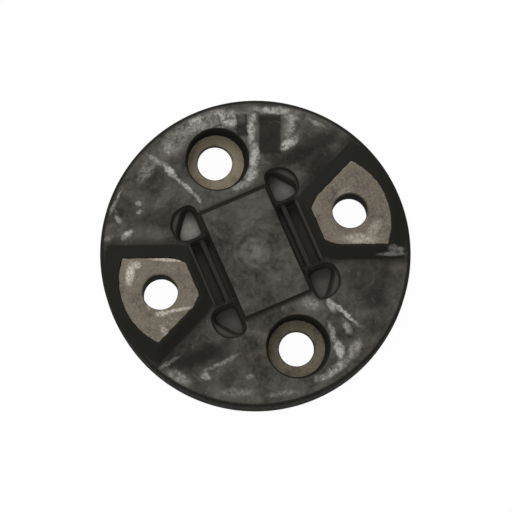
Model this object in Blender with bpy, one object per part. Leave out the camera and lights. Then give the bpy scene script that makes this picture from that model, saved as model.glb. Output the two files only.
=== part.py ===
"""A steering flex coupling: a moulded rubber disc with four bonded steel inserts.

The steering axis is Z and the origin lies on it, at half the disc's thickness. The front face
looks along +Z. Its two steel pads lie on +X and -X, and those of the rear face on +Y and -Y.
Each insert is a pad plate with a sleeve. The sleeve runs through the disc and ends as a steel
ring at the bottom of a round recess in the other face.
"""

import math

import bmesh
import bpy
import numpy as np
from mathutils import Matrix

MM = 0.001

# Moulded disc
DISC_DIAMETER = 75.5 * MM
BODY_THICKNESS = 12.2 * MM
RIM_ROUND = 1.0 * MM

# Bolt holes
BOLT_CIRCLE_DIAMETER = 50.0 * MM
BOLT_HOLE_DIAMETER = 8.5 * MM
HOLE_CHAMFER = 0.2 * MM

# Steel pad plate: an inner flat, two cut corners, two straight sides and one wide outer arc
PAD_HEIGHT = 1.7 * MM
PLATE_THICKNESS = 3.0 * MM
PLATE_INNER_FLAT = 16.4 * MM
PLATE_FLAT_WIDTH = 8.6 * MM
PLATE_CUT_LENGTH = 2.6 * MM
PLATE_CUT_WIDTH = 2.3 * MM
PLATE_SIDE_ANGLE = math.radians(22.8)
PLATE_OUTER_REACH = 34.5 * MM
PLATE_ARC_RADIUS = 17.0 * MM
PLATE_EDGE_BREAK = 0.2 * MM

# Steel sleeve
SLEEVE_DIAMETER = 16.8 * MM
SLEEVE_LENGTH = 8.7 * MM
LOCATING_BORE_DIAMETER = 12.5 * MM
SLEEVE_RING_THICKNESS = 2.0 * MM

# Rubber boss round each pad plate
BOSS_LIP = 0.35 * MM
BOSS_SIDE_SLOPE = 3.3 * MM
BOSS_INNER_SLOPE = 2.6 * MM
BOSS_CORNER_CUT = 0.9 * MM
BOSS_RIM_SETBACK = 0.85 * MM

# Round recess over each sleeve end
RECESS_FLOOR_DIAMETER = 13.8 * MM
RECESS_MOUTH_DIAMETER = 15.0 * MM
RECESS_MOUTH_ROUND = 0.35 * MM

# Flat block at the middle of each face, with a fine groove round it
BLOCK_WIDTH = 17.2 * MM
BLOCK_LENGTH = 27.6 * MM
BLOCK_RISE = 0.25 * MM
GROOVE_WIDTH = 0.7 * MM
GROOVE_DEPTH = 0.6 * MM

# Trench along each long side of the block, with a thin rib standing in it
TRENCH_LENGTH = 16.4 * MM
TRENCH_DEPTH = 3.7 * MM
TRENCH_SLOT_WIDTH = 1.1 * MM
TRENCH_INNER_LAND = 0.45 * MM
RIB_WIDTH = 1.2 * MM
RIB_DROP = 0.9 * MM
TRENCH_DRAFT = 0.07

# Corner pockets
POCKET_LEDGE_DEPTH = 1.2 * MM
POCKET_DEPTH = 4.0 * MM
POCKET_RADIUS = 4.4 * MM
POCKET_SIDE_DISTANCE = 2.6 * MM
POCKET_WEB_DISTANCE = 3.5 * MM
POCKET_FLAT_DISTANCE = 2.9 * MM
POCKET_FLAT_DIRECTION = math.radians(38.0)
POCKET_FLAT_LEAN = 0.28
POCKET_DRAFT = 0.08
POCKET_MOUTH_FLARE = 0.15 * MM
POCKET_TO_BLOCK = 0.75 * MM
POCKET_TO_TRENCH = 0.9 * MM

# Room that every insert keeps to the rubber
BOND_GAP = 0.3 * MM

# Smoothness of the curves
RIM_STEPS = 120
HOLE_STEPS = 48
ARC_STEPS = 20
ROUND_STEPS = 3
POCKET_STEPS = 36
CORNER_SHARPNESS = 16

# How far a cutter or blank runs past the surface that it meets
OVERRUN = 0.4 * MM

FACE_Z = BODY_THICKNESS / 2
PAD_Z = FACE_Z + PAD_HEIGHT
SLEEVE_END_Z = PAD_Z - SLEEVE_LENGTH
DISC_RADIUS = DISC_DIAMETER / 2
HOLE_X = BOLT_CIRCLE_DIAMETER / 2
HALF_TURN = Matrix.Rotation(math.pi, 4, "Z")
TURN_OVER = Matrix.Rotation(math.pi, 4, (1, 1, 0))


def clear_scene():
    for obj in list(bpy.data.objects):
        bpy.data.objects.remove(obj, do_unlink=True)


def material(name, colour, metallic, roughness):
    made = bpy.data.materials.new(name)
    made.use_nodes = True
    shader = made.node_tree.nodes["Principled BSDF"]
    shader.inputs["Base Color"].default_value = (*colour, 1.0)
    shader.inputs["Metallic"].default_value = metallic
    shader.inputs["Roughness"].default_value = roughness
    made.diffuse_color = (*colour, 1.0)
    return made


def circle(radius, centre_x=0.0, steps=HOLE_STEPS):
    """Points of a circle in plan, anticlockwise, centred on the X axis."""
    angle = np.linspace(0.0, 2 * math.pi, steps, endpoint=False)
    return np.column_stack((centre_x + radius * np.cos(angle), radius * np.sin(angle)))


def at_height(outline, z):
    """A plan outline lifted to the height z."""
    return np.column_stack((outline, np.full(len(outline), z)))


def solid_through(loops):
    """A mesh skinned through closed loops of equal point count, with a flat cap at each end."""
    mesh = bmesh.new()
    rings = [[mesh.verts.new(point) for point in loop] for loop in loops]
    for lower, upper in zip(rings, rings[1:]):
        for i in range(len(lower)):
            mesh.faces.new((lower[i - 1], lower[i], upper[i], upper[i - 1]))
    mesh.faces.new(rings[0])
    mesh.faces.new(rings[-1])
    bmesh.ops.recalc_face_normals(mesh, faces=mesh.faces)
    return mesh


def frame_through(loops):
    """A mesh skinned through closed loops, the last joined to the first, like a picture frame."""
    mesh = bmesh.new()
    rings = [[mesh.verts.new(point) for point in loop] for loop in loops]
    for inner, outer in zip(rings, rings[1:] + rings[:1]):
        for i in range(len(inner)):
            mesh.faces.new((inner[i - 1], inner[i], outer[i], outer[i - 1]))
    bmesh.ops.recalc_face_normals(mesh, faces=mesh.faces)
    return mesh


def placed(mesh, *turns):
    """A copy of the mesh for each turn matrix, gathered into one mesh."""
    gathered = bmesh.new()
    for turn in turns:
        copy = mesh.copy()
        bmesh.ops.transform(copy, matrix=turn, verts=copy.verts)
        data = bpy.data.meshes.new("copy")
        copy.to_mesh(data)
        copy.free()
        gathered.from_mesh(data)
        bpy.data.meshes.remove(data)
    return gathered


def four_places(mesh):
    """The form at +X and -X of the front face, and at +Y and -Y of the rear face."""
    return placed(mesh, Matrix(), HALF_TURN, TURN_OVER, HALF_TURN @ TURN_OVER)


def two_faces(mesh):
    """The form on the front face, and turned over on the rear face."""
    return placed(mesh, Matrix(), TURN_OVER)


def object_from(name, mesh):
    data = bpy.data.meshes.new(name)
    mesh.to_mesh(data)
    mesh.free()
    obj = bpy.data.objects.new(name, data)
    bpy.context.scene.collection.objects.link(obj)
    return obj


def helper(name, mesh):
    """An object that shapes another one and is no piece itself."""
    obj = object_from(name, mesh)
    obj.hide_render = True
    obj.display_type = "WIRE"
    return obj


def combine(obj, operation, other):
    modifier = obj.modifiers.new(other.name, "BOOLEAN")
    modifier.operation = operation
    modifier.solver = "EXACT"
    modifier.object = other


def meeting(point, along, other_point, other_along):
    """Where one line in plan meets another, each given by a point and a direction."""
    share = np.linalg.solve(np.column_stack((along, -other_along)), other_point - point)[0]
    return point + share * along


def meeting_arc(point, along, centre_x, radius):
    """Where a line in plan leaves a circle centred on the X axis."""
    offset = point - np.array((centre_x, 0.0))
    half = offset @ along
    return point + (math.sqrt(half * half - offset @ offset + radius * radius) - half) * along


def direction(angle):
    return np.array((math.cos(angle), math.sin(angle)))


def sector_outline(inner_corner, shoulder, outer_corner, arc_centre_x):
    """A sector shape, mirrored about X: two corners a side, and an arc between the outer corners."""
    spoke = outer_corner - np.array((arc_centre_x, 0.0))
    reach = np.hypot(*spoke)
    sweep = math.atan2(spoke[1], spoke[0])
    angle = np.linspace(-sweep, sweep, ARC_STEPS + 1)
    arc = np.column_stack((arc_centre_x + reach * np.cos(angle), reach * np.sin(angle)))
    mirror = np.array((1.0, -1.0))
    lower = (inner_corner * mirror, shoulder * mirror)
    return np.vstack((*lower, arc, shoulder, inner_corner))


def plate_corners():
    """The inner corner and the shoulder of the pad plate, on its +Y side."""
    inner = np.array((PLATE_INNER_FLAT, PLATE_FLAT_WIDTH / 2))
    return inner, inner + np.array((PLATE_CUT_LENGTH, PLATE_CUT_WIDTH))


def plate_outline(grow=0.0):
    """The pad plate in plan, with every side moved outwards by grow."""
    inner, shoulder = plate_corners()
    cut = (shoulder - inner) / np.hypot(*(shoulder - inner))
    side = direction(PLATE_SIDE_ANGLE)
    cut_point = inner + grow * np.array((-cut[1], cut[0]))
    side_point = shoulder + grow * np.array((-side[1], side[0]))
    flat_point = np.array((PLATE_INNER_FLAT - grow, 0.0))
    arc_centre_x = PLATE_OUTER_REACH - PLATE_ARC_RADIUS
    return sector_outline(
        meeting(flat_point, np.array((0.0, 1.0)), cut_point, cut),
        meeting(cut_point, cut, side_point, side),
        meeting_arc(side_point, side, arc_centre_x, PLATE_ARC_RADIUS + grow),
        arc_centre_x,
    )


def boss_foot_x():
    """Where the inner slope of a boss reaches the face."""
    return PLATE_INNER_FLAT - BOSS_INNER_SLOPE


def boss_foot_outline():
    """The line along which a boss rises from the face: a sector that runs out to the rim."""
    shoulder = plate_corners()[1]
    side = direction(PLATE_SIDE_ANGLE)
    side_point = shoulder + BOSS_SIDE_SLOPE * np.array((-side[1], side[0]))
    corner = meeting(
        np.array((boss_foot_x(), 0.0)), np.array((0.0, 1.0)), side_point, side
    )
    return sector_outline(
        corner - np.array((0.0, BOSS_CORNER_CUT)),
        corner + BOSS_CORNER_CUT * side,
        meeting_arc(side_point, side, 0.0, DISC_RADIUS - BOSS_RIM_SETBACK),
        0.0,
    )


def boss_blank():
    """A boss: its top just wider than the plate, sloping down to its foot and a little below."""
    top = plate_outline(BOND_GAP + BOSS_LIP)
    foot = boss_foot_outline()
    buried = foot + (foot - top) * (OVERRUN / PAD_HEIGHT)
    return solid_through(
        (at_height(buried, FACE_Z - OVERRUN), at_height(foot, FACE_Z), at_height(top, PAD_Z))
    )


def rectangle(half_x, half_y):
    return np.array(((-half_x, -half_y), (half_x, -half_y), (half_x, half_y), (-half_x, half_y)))


def block_blank():
    """The middle block, which stands a little above the face."""
    outline = rectangle((BLOCK_WIDTH + GROOVE_WIDTH) / 2, (BLOCK_LENGTH + GROOVE_WIDTH) / 2)
    return solid_through(
        (at_height(outline, FACE_Z - GROOVE_DEPTH / 2), at_height(outline, FACE_Z + BLOCK_RISE))
    )


def groove_cutter():
    """A groove of triangular section that runs round the block."""
    depth = GROOVE_DEPTH
    rise = BLOCK_RISE + OVERRUN
    spread = GROOVE_WIDTH / 2 * (depth + rise) / depth
    middle_x = (BLOCK_WIDTH + GROOVE_WIDTH) / 2
    middle_y = (BLOCK_LENGTH + GROOVE_WIDTH) / 2
    return frame_through(
        (
            at_height(rectangle(middle_x, middle_y), FACE_Z - depth),
            at_height(rectangle(middle_x + spread, middle_y + spread), FACE_Z + rise),
            at_height(rectangle(middle_x - spread, middle_y - spread), FACE_Z + rise),
        )
    )


def trench_inner_x():
    """The trench wall beside the block."""
    return BLOCK_WIDTH / 2 + TRENCH_INNER_LAND


def trench_cutter():
    """A trench from the block to the boss, whose section leaves a rib standing between two slots."""
    floor = FACE_Z - TRENCH_DEPTH
    crest = FACE_Z - RIB_DROP
    lean = TRENCH_DRAFT * TRENCH_DEPTH
    rib_lean = TRENCH_DRAFT * (TRENCH_DEPTH - RIB_DROP)
    inner = trench_inner_x()
    rib = inner + TRENCH_SLOT_WIDTH
    outer = boss_foot_x() + TRENCH_DRAFT * OVERRUN
    lip = TRENCH_DRAFT * (OVERRUN + PAD_HEIGHT)
    section = np.array(
        (
            (inner - lip, PAD_Z + OVERRUN),
            (inner + lean, floor),
            (rib - rib_lean, floor),
            (rib, crest),
            (rib + RIB_WIDTH, crest),
            (rib + RIB_WIDTH + rib_lean, floor),
            (outer - lean, floor),
            (outer + lip, PAD_Z + OVERRUN),
        )
    )
    end = TRENCH_LENGTH / 2 + TRENCH_DRAFT * (section[:, 1] - FACE_Z)
    return solid_through(
        (
            np.column_stack((section[:, 0], -end, section[:, 1])),
            np.column_stack((section[:, 0], end, section[:, 1])),
        )
    )


def pocket_outline(grow, flat_distance=None):
    """A corner pocket in plan, by its reach from its centre in every direction.

    It is a circle held back by a straight side at the block, one at the trench and, where
    flat_distance is given, a flat that far out on its outer side. They meet in soft corners.
    """
    angle = np.linspace(0.0, 2 * math.pi, POCKET_STEPS, endpoint=False)
    limits = [
        (POCKET_SIDE_DISTANCE + grow, math.pi),
        (POCKET_WEB_DISTANCE + grow, -math.pi / 2),
    ]
    if flat_distance is not None:
        limits.append((flat_distance, POCKET_FLAT_DIRECTION))
    total = np.full(POCKET_STEPS, (POCKET_RADIUS + grow) ** -CORNER_SHARPNESS)
    for distance, facing in limits:
        towards = np.maximum(np.cos(angle - facing), 0.0)
        total += (towards / distance) ** CORNER_SHARPNESS
    reach = total ** (-1 / CORNER_SHARPNESS)
    centre_x = BLOCK_WIDTH / 2 + POCKET_TO_BLOCK + POCKET_SIDE_DISTANCE
    centre_y = TRENCH_LENGTH / 2 + POCKET_TO_TRENCH + POCKET_WEB_DISTANCE
    return np.column_stack(
        (centre_x + reach * np.cos(angle), centre_y + reach * np.sin(angle))
    )


def pocket_cutter():
    """A pocket with a shallow ledge along its outer side and a deep three-cornered floor.

    The wall from the ledge down to the floor leans inwards, by POCKET_FLAT_LEAN of its height.
    """
    ledge = FACE_Z - POCKET_LEDGE_DEPTH
    ledge_draft = -POCKET_DRAFT * POCKET_LEDGE_DEPTH
    floor_draft = -POCKET_DRAFT * POCKET_DEPTH
    flat_foot = POCKET_FLAT_DISTANCE - POCKET_FLAT_LEAN * (POCKET_DEPTH - POCKET_LEDGE_DEPTH)
    return solid_through(
        (
            at_height(pocket_outline(POCKET_MOUTH_FLARE + OVERRUN), FACE_Z + OVERRUN),
            at_height(pocket_outline(0.0), FACE_Z - POCKET_MOUTH_FLARE),
            at_height(pocket_outline(ledge_draft), ledge),
            at_height(pocket_outline(ledge_draft, POCKET_FLAT_DISTANCE), ledge),
            at_height(pocket_outline(floor_draft, flat_foot), FACE_Z - POCKET_DEPTH),
        )
    )


def four_pocket_cutters():
    """The pocket at each corner of the front block: mirrored twice, with its faces turned back."""
    mirrors = [Matrix.Diagonal((x, y, 1, 1)) for x in (1, -1) for y in (1, -1)]
    gathered = placed(pocket_cutter(), *mirrors)
    bmesh.ops.recalc_face_normals(gathered, faces=gathered.faces)
    return gathered


def quarter_round(radius, edge_r, edge_z, outwards):
    """Radii and heights down a quarter round, from a flat face to a wall at edge_r."""
    angle = np.linspace(math.pi / 2, 0.0, ROUND_STEPS + 1)
    radii = edge_r + outwards * radius * (1 - np.cos(angle))
    heights = edge_z - radius * (1 - np.sin(angle))
    return list(zip(radii, heights))


def turned(profile, centre_x=0.0, steps=HOLE_STEPS):
    """A solid of circular loops, from (radius, height) pairs along its profile."""
    return solid_through([at_height(circle(r, centre_x, steps), z) for r, z in profile])


def disc_blank():
    """The plain disc with a rounded rim on both faces."""
    upper = quarter_round(RIM_ROUND, DISC_RADIUS, FACE_Z, -1)
    lower = [(r, -z) for r, z in reversed(upper)]
    return turned(upper + lower, steps=RIM_STEPS)


def recess_cutter():
    """The round recess over a sleeve end, on the rear face at +X.

    The flare of its mouth runs straight on past the face, so no edge of the cutter lies in it.
    """
    mouth = RECESS_MOUTH_DIAMETER / 2
    floor = RECESS_FLOOR_DIAMETER / 2
    rounded = np.array(quarter_round(RECESS_MOUTH_ROUND, mouth, FACE_Z, 1))
    past_face = 2 * rounded[0] - rounded[1]
    base = ((floor, -SLEEVE_END_Z), (floor, -SLEEVE_END_Z - BOND_GAP - OVERRUN))
    profile = np.vstack((past_face, rounded[1:], base))
    return turned(profile * (1, -1), HOLE_X)


def plate_seat_cutter():
    """Room for the plate, open above the boss."""
    outline = plate_outline(BOND_GAP)
    floor = PAD_Z - PLATE_THICKNESS - BOND_GAP
    return solid_through((at_height(outline, floor), at_height(outline, PAD_Z + OVERRUN)))


def sleeve_seat_cutter():
    """Room for the sleeve, up to just past its end inside the plate."""
    radius = SLEEVE_DIAMETER / 2 + BOND_GAP
    top = PAD_Z - PLATE_THICKNESS / 2 + BOND_GAP
    return turned(((radius, SLEEVE_END_Z - BOND_GAP), (radius, top)), HOLE_X)


def make_rubber_disc(rubber):
    """The one-piece moulding: disc, bosses and blocks, less its recesses, pockets and seats."""
    disc = object_from("rubber_disc", disc_blank())
    disc.data.materials.append(rubber)
    combine(disc, "UNION", helper("boss_blanks", four_places(boss_blank())))
    combine(disc, "UNION", helper("block_blanks", two_faces(block_blank())))
    combine(disc, "DIFFERENCE", helper("trench_cutters", four_places(trench_cutter())))
    combine(disc, "DIFFERENCE", helper("groove_cutters", two_faces(groove_cutter())))
    combine(disc, "DIFFERENCE", helper("pocket_cutters", two_faces(four_pocket_cutters())))
    combine(disc, "DIFFERENCE", helper("recess_cutters", four_places(recess_cutter())))
    combine(disc, "DIFFERENCE", helper("sleeve_seat_cutters", four_places(sleeve_seat_cutter())))
    combine(disc, "DIFFERENCE", helper("plate_seat_cutters", four_places(plate_seat_cutter())))
    return disc


def plate_blank():
    """The pad plate with its top edge broken."""
    return solid_through(
        (
            at_height(plate_outline(), PAD_Z - PLATE_THICKNESS),
            at_height(plate_outline(), PAD_Z - PLATE_EDGE_BREAK),
            at_height(plate_outline(-PLATE_EDGE_BREAK), PAD_Z),
        )
    )


def sleeve_blank():
    """The sleeve, from inside the plate down to its ring end."""
    radius = SLEEVE_DIAMETER / 2
    return turned(
        (
            (radius - HOLE_CHAMFER, SLEEVE_END_Z),
            (radius, SLEEVE_END_Z + HOLE_CHAMFER),
            (radius, PAD_Z - PLATE_THICKNESS / 2),
        ),
        HOLE_X,
    )


def hole_mouth(radius, z, outwards):
    """Radius and height pairs of a chamfered hole mouth, from past the face inwards."""
    return [
        (radius + HOLE_CHAMFER, z + outwards * OVERRUN),
        (radius + HOLE_CHAMFER, z),
        (radius, z - outwards * HOLE_CHAMFER),
    ]


def straight_bore_cutter():
    """The bolt hole of a front insert, one size all the way."""
    radius = BOLT_HOLE_DIAMETER / 2
    lower = hole_mouth(radius, SLEEVE_END_Z, -1)
    upper = hole_mouth(radius, PAD_Z, 1)
    return turned(lower + upper[::-1], HOLE_X)


def stepped_bore_cutter():
    """The bolt hole of a rear insert, which opens into a locating bore behind the sleeve's ring."""
    radius = BOLT_HOLE_DIAMETER / 2
    wide = LOCATING_BORE_DIAMETER / 2
    step = SLEEVE_END_Z + SLEEVE_RING_THICKNESS
    lower = hole_mouth(radius, SLEEVE_END_Z, -1)
    upper = hole_mouth(wide, PAD_Z, 1)
    return turned(lower + [(radius, step), (wide, step)] + upper[::-1], HOLE_X)


def shade_round(mesh):
    mesh.shade_smooth()
    mesh.set_sharp_from_angle(angle=math.radians(30))


def finished_mesh(obj):
    """The object's mesh with its modifiers applied."""
    graph = bpy.context.evaluated_depsgraph_get()
    return bpy.data.meshes.new_from_object(obj.evaluated_get(graph))


def insert_mesh(bore_cutter, steel):
    """Plate and sleeve as one piece of steel, bored through."""
    blank = object_from("insert_blank", plate_blank())
    blank.data.materials.append(steel)
    tools = (helper("sleeve_blank", sleeve_blank()), helper("bore_cutter", bore_cutter))
    combine(blank, "UNION", tools[0])
    combine(blank, "DIFFERENCE", tools[1])
    mesh = finished_mesh(blank)
    for obj in (blank, *tools):
        bpy.data.objects.remove(obj, do_unlink=True)
    shade_round(mesh)
    return mesh


def make_insert(name, mesh, turn):
    mesh.name = name
    insert = bpy.data.objects.new(name, mesh)
    bpy.context.scene.collection.objects.link(insert)
    insert.matrix_world = turn
    return insert


def main():
    clear_scene()
    rubber = material("black_rubber", (0.035, 0.034, 0.032), 0.0, 0.62)
    steel = material("grey_steel", (0.30, 0.28, 0.24), 1.0, 0.48)
    front = insert_mesh(straight_bore_cutter(), steel)
    rear = insert_mesh(stepped_bore_cutter(), steel)
    make_insert("front_insert_right", front, Matrix())
    make_insert("front_insert_left", front, HALF_TURN)
    make_insert("rear_insert_upper", rear, TURN_OVER)
    make_insert("rear_insert_lower", rear, HALF_TURN @ TURN_OVER)
    make_rubber_disc(rubber)


main()
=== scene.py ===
import math

import bpy
import numpy as np
from bpy.props import FloatProperty, FloatVectorProperty, PointerProperty
from bpy.types import Operator, Panel, PropertyGroup
from mathutils import Matrix, Vector


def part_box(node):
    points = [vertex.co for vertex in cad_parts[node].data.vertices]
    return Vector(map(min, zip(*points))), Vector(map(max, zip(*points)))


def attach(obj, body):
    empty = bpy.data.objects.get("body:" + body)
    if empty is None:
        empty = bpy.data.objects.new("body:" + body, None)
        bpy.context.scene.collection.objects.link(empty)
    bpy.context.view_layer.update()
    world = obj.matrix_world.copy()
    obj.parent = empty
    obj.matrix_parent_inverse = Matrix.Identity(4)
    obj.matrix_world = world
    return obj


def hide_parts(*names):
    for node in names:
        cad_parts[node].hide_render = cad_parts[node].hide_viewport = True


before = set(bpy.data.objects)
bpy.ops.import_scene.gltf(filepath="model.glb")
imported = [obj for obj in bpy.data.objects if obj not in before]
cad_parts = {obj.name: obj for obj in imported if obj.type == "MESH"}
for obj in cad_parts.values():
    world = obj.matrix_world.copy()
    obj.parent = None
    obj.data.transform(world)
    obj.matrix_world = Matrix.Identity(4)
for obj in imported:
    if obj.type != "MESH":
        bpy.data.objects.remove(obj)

bl_info = {
    "name": "Steering flex coupling",
    "version": (1, 0, 0),
    "blender": (4, 5, 0),
    "location": "3D View > Sidebar > Coupling",
    "description": "Moulded rubber disc coupling with bonded steel plate-and-sleeve inserts",
    "category": "Add Mesh",
}

MM = 0.001
PICTURE_TURN = math.radians(23.5)

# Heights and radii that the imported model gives
DISC_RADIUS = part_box("rubber_disc")[1].x
PAD_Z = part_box("front_insert_right")[1].z
SLEEVE_END_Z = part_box("front_insert_right")[0].z

# The disc and its bosses, in plan and in section
FACE_Z = 6.1 * MM
RIM_ROUND = 1.0 * MM
HOLE_X = 25.0 * MM
BOSS_TOP_GROW = 0.6 * MM
BOSS_INNER_RUN = 1.95 * MM
BOSS_SIDE_RUN = 2.65 * MM
BOSS_CUT_RUN = 3.35 * MM
BOSS_FOOT_RADIUS = DISC_RADIUS - 0.85 * MM
BOSS_RIM_OVERLAP = 0.15 * MM

# Steel pad plates and sleeves
PLATE_THICKNESS = 3.0 * MM
PLATE_INNER_X = 16.4 * MM
PLATE_SHOULDER = (19.0 * MM, 6.6 * MM)
PLATE_CUT_ANGLE = math.atan2(2.3, 2.6)
PLATE_SIDE_ANGLE = math.radians(22.8)
PLATE_ARC_X = 17.5 * MM
PLATE_ARC_RADIUS = 17.0 * MM
PLATE_CORNER_ROUND = 0.2 * MM
PLATE_UNDER_BREAK = 0.1 * MM
# Rubber flash over the plate's edge: how far it creeps in the mean, and its waves, each by its
# turns along X and Y in radians to the millimetre and its start
FLASH_CREEP = 0.1 * MM
FLASH_WAVES = ((1.9, 0.8, 0.4), (-0.9, 2.3, 1.7), (3.4, -2.6, 0.9))
SLEEVE_RADIUS = 8.4 * MM
BOLT_HOLE_RADIUS = 4.25 * MM
LOCATING_RADIUS = 6.25 * MM
RING_THICKNESS = 2.0 * MM
BORE_CHAMFER = 0.25 * MM
SLEEVE_END_BREAK = 0.2 * MM
SLEEVE_END_RIM = 0.1 * MM
INSERT_SHARP_ANGLE = math.radians(32)

# Recesses over the sleeve ends
RECESS_FLOOR_RADIUS = 6.9 * MM
RECESS_MOUTH_RADIUS = 7.5 * MM
RECESS_MOUTH_ROUND = 0.5 * MM
# How far the recess cores stood off the bolt holes' axes, at the floor and at the mouth, for the
# recess on +Y and the one on -Y, and the direction of that in plan
UPPER_SHIFT = (0.25 * MM, 0.7 * MM)
LOWER_SHIFT = (0.05 * MM, 0.35 * MM)
SHIFT_ANGLE = math.radians(-23.5)

# Middle block, the fine groove round it, and the trenches with their ribs
BLOCK_HALF = (8.6 * MM, 13.8 * MM)
BLOCK_RISE = 0.25 * MM
BLOCK_EDGE_ROUND = 0.3 * MM
GROOVE_HALF = (8.95 * MM, 14.05 * MM)
GROOVE_DEPTH = 0.5 * MM
GROOVE_SLOPE = 2.2
TRENCH_X = (8.8 * MM, 13.8 * MM)
TRENCH_HALF_LENGTH = 8.2 * MM
TRENCH_DEPTH = 3.7 * MM
RIB_X = 10.75 * MM
RIB_HALF_WIDTH = 0.6 * MM
RIB_DROP = 0.9 * MM
DRAFT = 0.07

# Corner pockets
POCKET_SIDES = (9.35 * MM, 9.1 * MM)
POCKET_CENTRE = (11.95 * MM, 12.6 * MM)
POCKET_RADIUS = 4.4 * MM
POCKET_LEDGE_DEPTH = 1.2 * MM
POCKET_DEPTH = 4.0 * MM
POCKET_FLAT_ANGLE = math.radians(38.0)
POCKET_FLAT_DISTANCE = 2.9 * MM
POCKET_FLAT_LEAN = 0.28

# Moulding marks: the parting line round the rim, and a nib of flash on it
PARTING_HEIGHT = 0.1 * MM
PARTING_WIDTH = 0.22 * MM
NIB_PLACE = (37.3 * MM, 4.7 * MM, 0.0)
NIB_RADIUS = 0.42 * MM

# Where the finish changes, each pair from none to full: the land among the hollows, left dark as painted
# shade, the inner foot of the bosses, where the painted shade at their sides starts, the pockets, and the
# rings and the spot on the block
SHADED_LAND_BESIDE = (15.2 * MM, 14.0 * MM)
SHADED_LAND_ALONG = (10.2 * MM, 9.2 * MM)
BOSS_START = (14.6 * MM, 13.4 * MM)
POCKET_OUTER_X = (17.0 * MM, 16.6 * MM)
POCKET_OUTER_RADIUS = (22.0 * MM, 21.6 * MM)
RINGS_INNER = (3.0 * MM, 4.2 * MM)
RINGS_OUTER = (7.6 * MM, 5.6 * MM)
BLOCK_SPOT = (4.4 * MM, 3.0 * MM)
# Radians of the rings to the metre of radius, and the width of the painted shade at a boss's side
RING_WAVE = 4.05 / MM
BOSS_SHADE = 2.6 * MM

# How far past its listed size an oval mark fades out, where a squared one does, and the size of
# the noise that makes their edges ragged
MARK_REACH = 1.2
SQUARED_EDGE = (1.12, 0.88)
RAGGED_SIZE = 1.8 * MM
# Marks on the front, in mm from the axis in a plan turned until the picture's level line is X:
# centre, half length, half width, angle in degrees and strength
PALE_MARKS = (
    (-21.4, 25.4, 2.2, 1.3, 75, 0.55),
    (-24.6, 22.8, 2.6, 0.9, -32, 0.45),
    (-20.8, 20.0, 2.8, 1.0, -50, 0.95),
    (-17.0, 16.2, 4.4, 0.55, -42, 0.75),
    (-14.0, 13.4, 1.6, 0.5, -60, 0.6),
    (-18.0, 28.4, 3.2, 1.3, 45, 0.32),
    (-14.8, 32.0, 2.8, 1.3, 28, 0.85),
    (-9.4, 34.0, 3.2, 1.2, 10, 0.8),
    (-6.8, 32.6, 2.6, 1.6, -30, 1.0),
    (-19.6, 27.4, 5.4, 2.8, 48, 0.38),
    (-12.4, 32.0, 6.4, 2.4, 26, 0.46),
    (-5.6, 33.4, 4.6, 2.0, -2, 0.6),
    (-26.4, 20.4, 4.4, 1.8, 60, 0.3),
    (-9.0, 30.6, 1.8, 0.7, 20, 0.45),
    (-0.9, 30.8, 5.0, 1.2, 89, 0.8),
    (-0.2, 23.6, 3.8, 1.35, 86, 0.95),
    (-0.9, 19.0, 2.2, 1.6, 60, 0.85),
    (-3.8, 16.4, 3.8, 1.0, 22, 0.5),
    (4.6, 35.0, 6.2, 1.0, -5, 0.75),
    (8.6, 33.4, 2.4, 1.0, -8, 0.55),
    (8.4, 31.0, 3.0, 1.6, 85, 0.6),
    (8.2, 27.0, 3.2, 1.3, 32, 1.0),
    (15.0, 31.8, 3.4, 0.6, -26, 0.35),
    (-33.9, 12.4, 3.8, 0.4, 64, 0.5),
    (-33.4, 8.2, 1.3, 0.7, -50, 0.5),
    (-31.0, 4.3, 2.0, 1.0, 35, 0.9),
    (-35.8, 3.3, 0.9, 0.6, 80, 0.4),
    (-28.4, 12.0, 0.9, 0.7, 0, 0.45),
    (-28.5, 9.8, 0.8, 0.7, 0, 0.6),
    (13.6, -12.6, 2.8, 1.6, -20, 0.35),
    (21.2, -14.6, 5.4, 0.65, -40, 0.9),
    (18.2, -12.8, 2.2, 0.9, -62, 0.65),
    (20.2, -23.8, 2.6, 1.3, -75, 1.0),
    (22.0, -18.2, 2.2, 1.0, -60, 0.58),
    (18.6, -20.0, 3.4, 0.75, -74, 0.6),
    (23.8, -23.8, 3.4, 1.4, 55, 0.5),
    (19.6, -28.2, 4.6, 1.3, 36, 0.6),
    (15.6, -30.6, 1.8, 0.9, 15, 0.6),
    (-20.6, -26.8, 3.2, 0.55, 32, 0.35),
    (-18.6, -30.2, 3.6, 1.5, -30, 0.42),
    (-8.6, -27.2, 5.6, 0.6, 27, 0.42),
    (-12.0, -30.2, 1.4, 0.9, -20, 0.65),
    (-4.4, -34.0, 5.4, 1.3, 3, 0.26),
    (-1.4, -30.2, 1.0, 0.7, 10, 0.45),
    (6.4, -34.4, 4.6, 0.8, 8, 0.3),
)
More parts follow.
